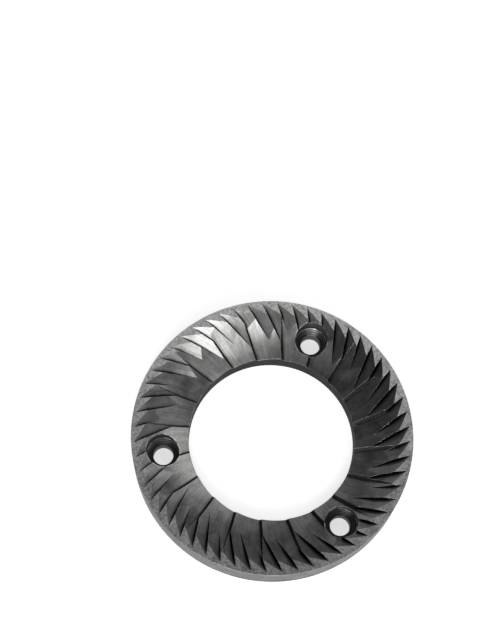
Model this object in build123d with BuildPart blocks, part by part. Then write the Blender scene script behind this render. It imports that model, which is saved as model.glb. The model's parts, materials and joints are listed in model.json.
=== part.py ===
import os
from math import cos, pi, radians, sin, tan

from build123d import *

# A flat grinding burr: one hardened steel ring that lies on its flat back, with its teeth up.
# Lengths are in millimetres and angles in degrees. The origin is the centre of the back face,
# +Z points out of the teeth, and +X runs through the middle of one screw hole.

# ring
outer_diameter = 64.0
bore_diameter = 38.0
thickness = 9.0
back_edge_chamfer = 0.4

# screw holes, each sunk for a flat head that sits well below the teeth
screw_count = 3
screw_circle_diameter = 50.0
screw_hole_diameter = 4.6
head_diameter = 7.5
head_cone_angle = 90.0
head_cone_floor = 2.9  # metal left under the cone
screw_exit_chamfer = 0.3

# grinding grooves: fine saw-tooth cuts, each ground by a wheel that comes out of the metal at the rim
groove_count = 56
groove_phase = 4.9  # where the first root line crosses the rim, from +X
groove_skew = 22.8  # root line against the radius at the rim
groove_wheel_diameter = 104.0
groove_wheel_depth = 2.94  # how deep the wheel reaches below the top face
groove_wheel_inset = 17.9  # where it reaches deepest, along the root line from the rim
groove_face_angle = 25.7
groove_wall_draft = 10.0

# breaker blades: coarse saw-tooth cuts, each ground by a wheel that is deepest inside the bore
blade_count = 20
blade_phase = 7.0  # where the first root line crosses the bore, from +X
blade_skew = 11.4  # root line against the radius at the bore
blade_wheel_diameter = 74.0
blade_wheel_depth = 5.58  # how deep the wheel reaches below the top face
blade_wheel_inset = 9.14  # where it reaches deepest, along the root line from the bore
blade_face_angle = 15.5
blade_wall_draft = 32.0

# wheels
face_overlap = 1.44  # width of a wheel's gentle face, in pitches of its own teeth
wheel_clearance = 0.5  # how far a wheel stands out of the top face
wheel_turn = 36.0  # how much of a wheel is made, outwards from its lowest point

outer_radius = outer_diameter / 2
bore_radius = bore_diameter / 2


def slope(angle):
    """Rise for each millimetre along the level."""
    return tan(radians(angle))


def outwards(skew):
    """Level direction of a root line."""
    return Vector(cos(radians(skew)), sin(radians(skew)), 0)


def sideways(skew):
    """Level direction square to a root line, on the side of its gentle face."""
    return Vector(-sin(radians(skew)), cos(radians(skew)), 0)


def saw_tooth(face_angle, wall_draft, face_width, height):
    """Corners of a tooth space: its root, the gentle face to the left and the steep wall to the right."""
    face_end = (-face_width, face_width * slope(face_angle))
    wall_end = (height * slope(wall_draft), height)
    return (0, 0), face_end, (-face_width, height), wall_end


# Each wheel is the tooth space turned about the wheel's own level axle, which stands above the
# lowest point of the root line.
groove_low = Vector(outer_radius, 0, thickness - groove_wheel_depth)
groove_low -= outwards(groove_skew) * groove_wheel_inset
groove_axle = Axis(groove_low + Vector(0, 0, groove_wheel_diameter / 2), -sideways(groove_skew))

with BuildPart() as groove_wheel:
    with BuildSketch(Plane(origin=groove_low, x_dir=sideways(groove_skew), z_dir=outwards(groove_skew))):
        with BuildLine():
            Polyline(
                *saw_tooth(
                    groove_face_angle,
                    groove_wall_draft,
                    pi * outer_diameter / groove_count * face_overlap,
                    groove_wheel_depth + wheel_clearance,
                ),
                close=True,
            )
        make_face()
    revolve(axis=groove_axle, revolution_arc=wheel_turn)

blade_low = Vector(bore_radius, 0, thickness - blade_wheel_depth)
blade_low -= outwards(blade_skew) * blade_wheel_inset
blade_axle = Axis(blade_low + Vector(0, 0, blade_wheel_diameter / 2), -sideways(blade_skew))

with BuildPart() as blade_wheel:
    with BuildSketch(Plane(origin=blade_low, x_dir=sideways(blade_skew), z_dir=outwards(blade_skew))):
        with BuildLine():
            Polyline(
                *saw_tooth(
                    blade_face_angle,
                    blade_wall_draft,
                    pi * bore_diameter / blade_count * face_overlap,
                    blade_wheel_depth + wheel_clearance,
                ),
                close=True,
            )
        make_face()
    revolve(axis=blade_axle, revolution_arc=wheel_turn)

with BuildPart() as burr:
    # blank: a plain ring with its two back edges broken
    with BuildSketch():
        Circle(outer_radius)
        Circle(bore_radius, mode=Mode.SUBTRACT)
    extrude(amount=thickness)
    chamfer(burr.faces().sort_by(Axis.Z)[0].edges(), back_edge_chamfer)

    # coarse blades first, then the fine grooves through what they leave
    for place in PolarLocations(0, blade_count, start_angle=blade_phase):
        add(place * blade_wheel.part, clean=False, mode=Mode.SUBTRACT)
    for place in PolarLocations(0, groove_count, start_angle=groove_phase):
        add(place * groove_wheel.part, clean=False, mode=Mode.SUBTRACT)

    # screw holes, from the teeth to the back
    head_cone_depth = (head_diameter - screw_hole_diameter) / 2 / slope(head_cone_angle / 2)
    with Locations((0, 0, head_cone_floor + head_cone_depth)):
        with PolarLocations(screw_circle_diameter / 2, screw_count):
            CounterSinkHole(screw_hole_diameter / 2, head_diameter / 2, thickness, head_cone_angle)
    back_face = burr.faces().filter_by(Axis.Z).sort_by(Axis.Z)[0]
    exits = back_face.edges().filter_by(GeomType.CIRCLE).group_by(SortBy.RADIUS)[0]
    chamfer(exits, screw_exit_chamfer)

burr.part.label = "burr"

os.makedirs("parts", exist_ok=True)
export_step(burr.part, "parts/burr.step")
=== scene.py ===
import json
import math

import bpy
from mathutils import Matrix, Vector


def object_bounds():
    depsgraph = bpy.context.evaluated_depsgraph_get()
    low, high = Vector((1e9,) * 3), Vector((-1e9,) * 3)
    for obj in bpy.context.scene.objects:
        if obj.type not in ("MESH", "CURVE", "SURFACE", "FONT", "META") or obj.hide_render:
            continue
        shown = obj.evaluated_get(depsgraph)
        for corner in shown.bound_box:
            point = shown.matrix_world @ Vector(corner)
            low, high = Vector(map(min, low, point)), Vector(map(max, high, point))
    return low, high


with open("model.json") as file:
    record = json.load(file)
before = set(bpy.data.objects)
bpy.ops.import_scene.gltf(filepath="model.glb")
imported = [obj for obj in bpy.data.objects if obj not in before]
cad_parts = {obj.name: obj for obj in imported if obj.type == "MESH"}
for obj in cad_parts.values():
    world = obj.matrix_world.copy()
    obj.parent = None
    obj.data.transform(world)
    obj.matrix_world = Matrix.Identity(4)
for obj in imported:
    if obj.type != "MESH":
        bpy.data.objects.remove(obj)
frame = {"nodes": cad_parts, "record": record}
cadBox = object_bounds()
burr = frame["nodes"]["burr"]
mounts = {mount["name"]: mount["dims"] for mount in frame["record"]["mounts"]}
print("frame loaded")

scene = bpy.context.scene
scene.view_settings.view_transform = "Standard"

# camera: turned about the bore, tipped down, rolled, and shifted to place the burr in the picture
view = {
    "azimuth": 48.13,  # degrees about Z, 0 looks along +Y
    "elevation": 70.86,
    "roll": 3.993,
    "distance": 0.350,  # metres from the centre of the back face, before the shift
    "right": 0.007127,  # how far the burr is moved in the picture, to the right and up
    "up": -0.02876,
    "lens": 84.88,  # millimetres, as is the sensor
    "sensorWidth": 36,
    "nearest": 0.01,
}


def seenFrom(x, y, z):
    # a direction as the viewer sees it from above: x to the right, y away, z up
    turn = math.radians(view["azimuth"])
    return Vector((x * math.cos(turn) - y * math.sin(turn), x * math.sin(turn) + y * math.cos(turn), z))


def placeCamera():
    tip, roll = math.radians(view["elevation"]), math.radians(view["roll"])
    back = seenFrom(0, -math.cos(tip), math.sin(tip))
    level = seenFrom(1, 0, 0)
    above = back.cross(level)
    right = math.cos(roll) * level + math.sin(roll) * above
    up = -math.sin(roll) * level + math.cos(roll) * above
    place = back * view["distance"] - right * view["right"] - up * view["up"]
    lens = bpy.data.cameras.new("camera")
    lens.lens = view["lens"]
    lens.sensor_width = view["sensorWidth"]
    lens.clip_start = view["nearest"]
    camera = bpy.data.objects.new("camera", lens)
    scene.collection.objects.link(camera)
    camera.matrix_world = Matrix((
        (right.x, up.x, back.x, place.x),
        (right.y, up.y, back.y, place.y),
        (right.z, up.z, back.z, place.z),
        (0, 0, 0, 1),
    ))
    scene.camera = camera


placeCamera()
print("camera placed")


# small helpers for node trees
def grey(level):
    return (level, level, level, 1)


def addNode(tree, kind, inputs=None, **settings):
    node = tree.nodes.new(kind)
    for name, value in settings.items():
        setattr(node, name, value)
    for key, value in (inputs or {}).items():
        if isinstance(value, bpy.types.NodeSocket):
            tree.links.new(value, node.inputs[key])
        else:
            node.inputs[key].default_value = value
    return node


def calc(tree, operation, *values):
    return addNode(tree, "ShaderNodeMath", dict(enumerate(values)), operation=operation).outputs[0]


def vectorCalc(tree, operation, result, *vectors):
    inputs = dict(enumerate(vectors))
    return addNode(tree, "ShaderNodeVectorMath", inputs, operation=operation).outputs[result]


def split(tree, vector):
    return addNode(tree, "ShaderNodeSeparateXYZ", {0: vector}).outputs


def combine(tree, *parts):
    return addNode(tree, "ShaderNodeCombineXYZ", dict(enumerate(parts))).outputs[0]


def layer(tree, factor, below, above):
    return addNode(tree, "ShaderNodeMix", {0: factor, 2: below, 3: above}).outputs[0]


def ramp(tree, value, low, high, fromValue=0.0, toValue=1.0):
    # smooth step of a value between low and high
    inputs = {"Value": value, "From Min": low, "From Max": high}
    inputs.update({"To Min": fromValue, "To Max": toValue})
    return addNode(tree, "ShaderNodeMapRange", inputs, interpolation_type="SMOOTHSTEP").outputs[0]


def newMaterial(name):
    material = bpy.data.materials.new(name)
    material.use_nodes = True
    material.node_tree.nodes.clear()
    return material, material.node_tree


def newGroup(name, inputs, outputs):
    tree = bpy.data.node_groups.new(name, "ShaderNodeTree")
    for direction, sockets in (("INPUT", inputs), ("OUTPUT", outputs)):
        for label, kind in sockets.items():
            tree.interface.new_socket(label, in_out=direction, socket_type="NodeSocket" + kind)
    return tree, tree.nodes.new("NodeGroupInput").outputs, tree.nodes.new("NodeGroupOutput").inputs


def useGroup(tree, group, inputs):
    return addNode(tree, "ShaderNodeGroup", inputs, node_tree=group).outputs


# studio: white floor, low white wall, dark ceiling, soft boxes
studio = {
    "floorWidth": 6.0,
    "floorDrop": 0.00003,  # how far the floor lies under the back face
    "floorColor": 0.80,
    "floorGlow": 0.62,  # added to the lit floor where it is looked at, so that it shows white
    "wallHeight": (0.05, 0.25),  # sine of the elevation where the white wall fades out
    "wallLevel": 0.8,
    "ceilingLevel": 0.05,
    "fillLevel": 0.29,  # what diffuse surfaces get from all around
    "boxDistance": 0.60,
    # where each box stands, in degrees from straight up and degrees round from the viewer's right, and then
    # its width, height and level
    "boxes": {
        "frontHigh": (40, -91, 0.20, 0.19, 5.0),
        "frontLeft": (57, -108, 0.19, 0.19, 5.0),
        "frontRight": (57, -72, 0.19, 0.19, 2.2),
        "frontLow": (74, -102, 0.36, 0.18, 2.6),
        "rightLow": (74, -30, 0.52, 0.18, 1.6),
        "frontSide": (57, -36, 0.19, 0.19, 0.6),
        "right": (40, 9, 0.21, 0.19, 2.0),
        "backRight": (40, 45, 0.20, 0.19, 1.4),
        "back": (40, 90, 0.20, 0.19, 1.2),
        "top": (22, 94, 0.32, 0.17, 0.92),
        "leftFill": (36, -148, 0.24, 0.20, 0.4),
        "backLow": (74, 112, 0.34, 0.18, 0.4),
    },
}


def seenWhite(tree, rays):
    # 1 for rays from the camera, mirrors and glass
    seen = calc(tree, "MAXIMUM", rays["Is Camera Ray"], rays["Is Glossy Ray"])
    return calc(tree, "MAXIMUM", seen, rays["Is Transmission Ray"])


def makeFloor():
    half, height = studio["floorWidth"] / 2, -studio["floorDrop"]
    corners = [(-half, -half, height), (half, -half, height), (half, half, height), (-half, half, height)]
    mesh = bpy.data.meshes.new("floor")
    mesh.from_pydata(corners, [], [(0, 1, 2, 3)])
    floor = bpy.data.objects.new("floor", mesh)
    scene.collection.objects.link(floor)
    material, tree = newMaterial("floor")
    matt = addNode(tree, "ShaderNodeBsdfDiffuse", {"Color": grey(studio["floorColor"])}).outputs[0]
    seen = seenWhite(tree, addNode(tree, "ShaderNodeLightPath").outputs)
    level = calc(tree, "MULTIPLY", seen, studio["floorGlow"])
    glow = addNode(tree, "ShaderNodeEmission", {"Color": grey(1), "Strength": level}).outputs[0]
    lit = addNode(tree, "ShaderNodeAddShader", {0: matt, 1: glow}).outputs[0]
    # clear from below
    clear = addNode(tree, "ShaderNodeBsdfTransparent").outputs[0]
    below = addNode(tree, "ShaderNodeNewGeometry").outputs["Backfacing"]
    surface = addNode(tree, "ShaderNodeMixShader", {0: below, 1: lit, 2: clear}).outputs[0]
    addNode(tree, "ShaderNodeOutputMaterial", {"Surface": surface})
    mesh.materials.append(material)


def makeWorld():
    world = bpy.data.worlds.new("studio")
    scene.world = world
    world.use_nodes = True
    tree = world.node_tree
    tree.nodes.clear()
    rays = addNode(tree, "ShaderNodeLightPath").outputs
    height = split(tree, addNode(tree, "ShaderNodeTexCoord").outputs["Generated"])["Z"]
    wall = ramp(tree, height, *studio["wallHeight"], studio["wallLevel"], studio["ceilingLevel"])
    wall = calc(tree, "MAXIMUM", wall, rays["Is Camera Ray"])
    level = layer(tree, seenWhite(tree, rays), studio["fillLevel"], wall)
    glow = addNode(tree, "ShaderNodeBackground", {"Color": grey(1), "Strength": level}).outputs[0]
    addNode(tree, "ShaderNodeOutputWorld", {"Surface": glow})


def makeBoxes():
    for name, (fromTop, around, width, height, level) in studio["boxes"].items():
        lamp = bpy.data.lights.new(name, "AREA")
        lamp.shape = "RECTANGLE"
        lamp.size, lamp.size_y = width, height
        lamp.energy = level * math.pi * width * height
        box = bpy.data.objects.new(name, lamp)
        scene.collection.objects.link(box)
        tip, turn = math.radians(fromTop), math.radians(around)
        towards = seenFrom(math.sin(tip) * math.cos(turn), math.sin(tip) * math.sin(turn), math.cos(tip))
        facing = towards.to_track_quat("Z", "Y").to_matrix().to_4x4()
        box.matrix_world = Matrix.Translation(towards * studio["boxDistance"]) @ facing


makeFloor()
makeWorld()
makeBoxes()
print("studio built")


# hardened steel: tone, roughness and pattern depth of each kind of surface. Blade stands wherever no other
# kind does, and a later kind covers an earlier one.
steelSurfaces = {
    "Blade": (0.305, 0.31, 2.3),
    "Groove": (0.32, 0.28, 2.2),
    "Wall": (0.07, 0.45, 3.0),  # steep side of a cut; its low tone is painted shade
    "Land": (0.485, 0.34, 2.9),
    "Rim": (0.33, 0.42, 3.0),
    # the bore's low tone is painted shade
    "Bore": (0.07, 0.55, 3.5),
    "Back": (0.33, 0.38, 3.0),
    # the holes' lower tone is painted shade
    "Hole": (0.18, 0.38, 1.9),
}
steelLook = {
    "leastRoughness": 0.285,
    "edgeTint": 0.4,
    "blueTone": 0.985,  # blue against red and green
    "broadShare": 0.4,  # of the broad streaks among the fine ones
    "speckleShare": 0.3,  # of the speckle among the streaks
    "turnedShare": 0.45,  # of the turned lines among the drilled rings
    "ringPitch": 0.42,  # millimetres between the rings that the drill left on the cones
    "streakHeight": 3.5e-6,
    "cloudDepth": 1.12,  # how much the colour drifts from place to place
    "cloudRoughness": 0.22,
    "edgeRadius": 0.00009,
    "edgeSamples": 6,
    "edgeTurn": (0.995, 0.93),  # cosine of how far a bevel would turn the face, where wear and painted highlight start and are full
    "edgeOpenness": (0.5, 0.95),
    # worn edges are lightened, partly real wear and partly painted highlight
    "wornPatches": (0.38, 0.58),
    "wornTone": 0.80,
    # painted shade in the roots: ambient occlusion darkens the tone there, down to the root shade tone
    "rootReach": 0.0013,  # how far the painted shade line spreads from a root
    "rootSamples": 12,
    "rootOpenness": (0.48, 0.88),
    "rootTone": 0.10,
}
# noise steps per millimetre along each part of a vector, then the noise's detail and roughness
steelGrain = {
    "fine": ((3.4, 3.4, 0.20), 2.0, 0.6),
    "broad": ((1.1, 1.1, 0.10), 2.0, 0.5),
    "turned": ((0.025, 0.025, 5.5), 2.0, 0.7),
    "speckle": ((2.3, 2.3, 2.3), 3.0, 0.75),
    "cloud": ((0.32, 0.32, 0.32), 4.0, 0.6),
    "wear": ((1.2, 1.2, 1.2), 2.0, 0.5),
}
burrPlan = {  # millimetres, from the frame where it has them
    "top": cadBox[1][2] * 1000,
    "outerRadius": mounts["rim"]["r_mm"],
    "boreRadius": mounts["bore"]["r_mm"],
    "screwCount": mounts["screws"]["count"],
    "screwCircle": mounts["screws"]["pcd_mm"] / 2,
    "headRadius": 3.75,  # as in the part
    "grooveTangent": 12.4,  # radius of the circle that the groove lines touch
    "bladeTangent": 3.76,
    "lineSpread": 24.0,  # how far along its line a streak is as wide as its grain says
}
surfaceLimits = {
    # sideways slope of a face: 0.27 to 0.34 on groove faces, 0.11 to 0.25 on blade faces
    "grooveSlope": 0.26,
    "wallSlope": -0.4,
    # upward part of a face's direction
    "levelUp": 0.998,
    "uprightUp": 0.3,
    "slopingUp": 0.2,  # least that the slope is worked out with
    "backUp": -0.5,
    # millimetres about the top, rim, bore, counterbore and its mouth
    "landDepth": 0.1,
    "rimDepth": 0.2,
    "boreDepth": 0.1,
    "headDepth": 0.04,
    "mouthWidth": (0.20, 0.06),
}


def cutLines():
    # Lines along the cuts: each is level and touches a circle about the bore, and a radius of 0 gives lines
    # from the centre. With s the length from the touching point, p the circle's radius and r the distance
    # from the centre, the line's direction is (s x - p y, s y + p x) / r^2. Line holds that direction and s,
    # and Side is the level direction square to it.
    inputs = {"Place": "Vector", "Tangent Radius": "Float"}
    tree, given, made = newGroup("cutLines", inputs, {"Line": "Vector", "Side": "Vector"})
    place = split(tree, given["Place"])
    x, y = place["X"], place["Y"]
    tangent = given["Tangent Radius"]
    square = calc(tree, "ADD", calc(tree, "MULTIPLY", x, x), calc(tree, "MULTIPLY", y, y))
    reach = calc(tree, "SUBTRACT", square, calc(tree, "MULTIPLY", tangent, tangent))
    reach = calc(tree, "SQRT", calc(tree, "MAXIMUM", reach, 0.0))
    alongX = calc(tree, "SUBTRACT", calc(tree, "MULTIPLY", reach, x), calc(tree, "MULTIPLY", tangent, y))
    alongY = calc(tree, "ADD", calc(tree, "MULTIPLY", reach, y), calc(tree, "MULTIPLY", tangent, x))
    alongX, alongY = calc(tree, "DIVIDE", alongX, square), calc(tree, "DIVIDE", alongY, square)
    spread = [calc(tree, "MULTIPLY", part, burrPlan["lineSpread"]) for part in (alongX, alongY)]
    tree.links.new(combine(tree, *spread, reach), made["Line"])
    tree.links.new(combine(tree, calc(tree, "MULTIPLY", alongY, -1.0), alongX), made["Side"])
    return tree


def screwDistance(tree, level):
    # millimetres from the nearest screw hole's axis
    nearest = None
    for number in range(burrPlan["screwCount"]):
        turn = 2 * math.pi * number / burrPlan["screwCount"]
        centre = Vector((math.cos(turn), math.sin(turn), 0)) * burrPlan["screwCircle"]
        distance = vectorCalc(tree, "DISTANCE", "Value", level, centre)
        nearest = distance if nearest is None else calc(tree, "MINIMUM", nearest, distance)
    return nearest


def surfaceMasks(lines):
    # which kind of surface a point is on, from its place and which way it faces
    plan, limits = burrPlan, surfaceLimits
    kinds = ("Land", "Groove", "Wall", "Rim", "Bore", "Back", "Hole", "Cone", "Mouth")
    inputs = {"Place": "Vector", "Normal": "Vector"}
    tree, given, made = newGroup("surfaceMasks", inputs, dict.fromkeys(kinds, "Float"))

    def over(value, limit):
        return calc(tree, "GREATER_THAN", value, limit)

    def under(value, limit):
        return calc(tree, "LESS_THAN", value, limit)

    def both(first, second):
        return calc(tree, "MULTIPLY", first, second)

    x, y, z = split(tree, given["Place"])
    up = split(tree, given["Normal"])["Z"]
    level = combine(tree, x, y)
    radius = vectorCalc(tree, "LENGTH", "Value", level)
    side = useGroup(tree, lines, {"Place": given["Place"], "Tangent Radius": 0.0})["Side"]
    lean = vectorCalc(tree, "DOT_PRODUCT", "Value", given["Normal"], side)
    slope = calc(tree, "DIVIDE", lean, calc(tree, "MAXIMUM", up, limits["slopingUp"]))
    upright = under(calc(tree, "ABSOLUTE", up), limits["uprightUp"])
    facingUp = over(up, limits["uprightUp"])
    back = under(up, limits["backUp"])
    near = screwDistance(tree, level)
    hole = both(under(near, plan["headRadius"] + limits["headDepth"]), calc(tree, "SUBTRACT", 1.0, back))
    lip = calc(tree, "ABSOLUTE", calc(tree, "SUBTRACT", near, plan["headRadius"]))
    masks = {
        "Land": both(over(up, limits["levelUp"]), over(z, plan["top"] - limits["landDepth"])),
        "Groove": over(slope, limits["grooveSlope"]),
        "Wall": under(slope, limits["wallSlope"]),
        "Rim": both(upright, over(radius, plan["outerRadius"] - limits["rimDepth"])),
        "Bore": both(upright, under(radius, plan["boreRadius"] + limits["boreDepth"])),
        "Back": back,
        "Hole": hole,
        "Cone": both(hole, facingUp),
        "Mouth": both(ramp(tree, lip, *limits["mouthWidth"]), facingUp),
    }
    for name, mask in masks.items():
        tree.links.new(mask, made[name])
    return tree


def grain(tree, name, vector):
    scale, detail, rough = steelGrain[name]
    stretched = vectorCalc(tree, "MULTIPLY", "Vector", vector, scale)
    inputs = {"Vector": stretched, "Scale": 1.0, "Detail": detail, "Roughness": rough}
    return addNode(tree, "ShaderNodeTexNoise", inputs).outputs[0]


def steelPattern(tree, place, line, masks):
    # speckle on flat faces, streaks along the cuts, turned lines on round faces, rings on the drilled cones
    look = steelLook
    speckle = grain(tree, "speckle", place)
    streak = layer(tree, look["broadShare"], grain(tree, "fine", line), grain(tree, "broad", line))
    streak = layer(tree, look["speckleShare"], streak, speckle)
    turned = grain(tree, "turned", place)
    height = split(tree, place)["Z"]
    rings = calc(tree, "SINE", calc(tree, "MULTIPLY", height, 2 * math.pi / look["ringPitch"]))
    rings = calc(tree, "MULTIPLY_ADD", rings, 0.5, 0.5)
    turned = layer(tree, masks["Cone"], turned, layer(tree, look["turnedShare"], rings, turned))
    rounded = calc(tree, "MAXIMUM", calc(tree, "MAXIMUM", masks["Rim"], masks["Bore"]), masks["Hole"])
    flat = calc(tree, "MAXIMUM", masks["Land"], masks["Back"])
    return layer(tree, flat, layer(tree, rounded, streak, turned), speckle)


def steelWearShadeAndHighlight(tree, place, normal, masks):
    # how open a point lies, which sets the painted shade in the roots; how worn and bright its edge is,
    # partly real wear and partly painted highlight; and its direction with the edges rounded
    look = steelLook
    inputs = {"Distance": look["rootReach"]}
    root = addNode(tree, "ShaderNodeAmbientOcclusion", inputs, samples=look["rootSamples"], only_local=True)
    openness = ramp(tree, root.outputs["AO"], *look["rootOpenness"])
    edge = addNode(tree, "ShaderNodeBevel", {"Radius": look["edgeRadius"]}, samples=look["edgeSamples"])
    rounded = edge.outputs[0]
    wornHighlight = ramp(tree, vectorCalc(tree, "DOT_PRODUCT", "Value", rounded, normal), *look["edgeTurn"])
    wornHighlight = calc(tree, "MULTIPLY", wornHighlight, ramp(tree, openness, *look["edgeOpenness"]))
    wornHighlight = calc(tree, "MAXIMUM", wornHighlight, masks["Mouth"])
    wornHighlight = calc(tree, "MULTIPLY", wornHighlight, ramp(tree, grain(tree, "wear", place), *look["wornPatches"]))
    return openness, wornHighlight, rounded


def makeSteel():
    look, plan = steelLook, burrPlan
    material, tree = newMaterial("hardenedSteel")
    metres = addNode(tree, "ShaderNodeTexCoord").outputs["Object"]
    place = vectorCalc(tree, "MULTIPLY", "Vector", metres, (1000, 1000, 1000))  # millimetres
    normal = addNode(tree, "ShaderNodeNewGeometry").outputs["Normal"]
    lines = cutLines()
    masks = useGroup(tree, surfaceMasks(lines), {"Place": place, "Normal": normal})
    grooveLine = useGroup(tree, lines, {"Place": place, "Tangent Radius": plan["grooveTangent"]})["Line"]
    bladeLine = useGroup(tree, lines, {"Place": place, "Tangent Radius": plan["bladeTangent"]})["Line"]
    inputs = {0: masks["Groove"], 4: bladeLine, 5: grooveLine}
    line = addNode(tree, "ShaderNodeMix", inputs, data_type="VECTOR").outputs[1]

    def bySurface(index):
        value = steelSurfaces["Blade"][index]
        for kind, numbers in steelSurfaces.items():
            if kind != "Blade":
                value = layer(tree, masks[kind], value, numbers[index])
        return value

    tone, roughness, depth = bySurface(0), bySurface(1), bySurface(2)
    pattern = steelPattern(tree, place, line, masks)
    openness, wornHighlight, rounded = steelWearShadeAndHighlight(tree, place, normal, masks)

    # the pattern and the clouds from hardening change the tone, painted shade darkens the roots, and worn
    # edges are painted bright, partly as real wear and partly as painted highlight
    cloud = calc(tree, "SUBTRACT", grain(tree, "cloud", place), 0.5)
    swing = calc(tree, "MULTIPLY", calc(tree, "SUBTRACT", pattern, 0.5), depth)
    drift = calc(tree, "MULTIPLY", cloud, look["cloudDepth"])
    tone = calc(tree, "MULTIPLY", tone, calc(tree, "ADD", calc(tree, "ADD", swing, drift), 1.0))
    # painted shade: the tone is darkened in the roots, where ambient occlusion finds little open space
    tone = calc(tree, "MULTIPLY", tone, layer(tree, openness, look["rootTone"], 1.0))
    # painted highlight, partly real wear: edges and the mouths of the screw holes are lightened
    tone = layer(tree, wornHighlight, tone, look["wornTone"])
    blue = calc(tree, "MULTIPLY", tone, look["blueTone"])
    color = addNode(tree, "ShaderNodeCombineColor", {0: tone, 1: tone, 2: blue}).outputs[0]

    roughness = calc(tree, "ADD", roughness, calc(tree, "MULTIPLY", cloud, look["cloudRoughness"]))
    roughness = calc(tree, "MAXIMUM", roughness, look["leastRoughness"])
    inputs = {"Distance": look["streakHeight"], "Height": pattern, "Normal": rounded}
    bump = addNode(tree, "ShaderNodeBump", inputs).outputs[0]
    steel = addNode(tree, "ShaderNodeBsdfPrincipled", {
        "Base Color": color,
        "Metallic": 1.0,
        "Roughness": roughness,
        "Specular Tint": grey(look["edgeTint"]),
        "Normal": bump,
    })
    addNode(tree, "ShaderNodeOutputMaterial", {"Surface": steel.outputs[0]})
    return material


burr.data.materials.clear()
burr.data.materials.append(makeSteel())
print("steel made")
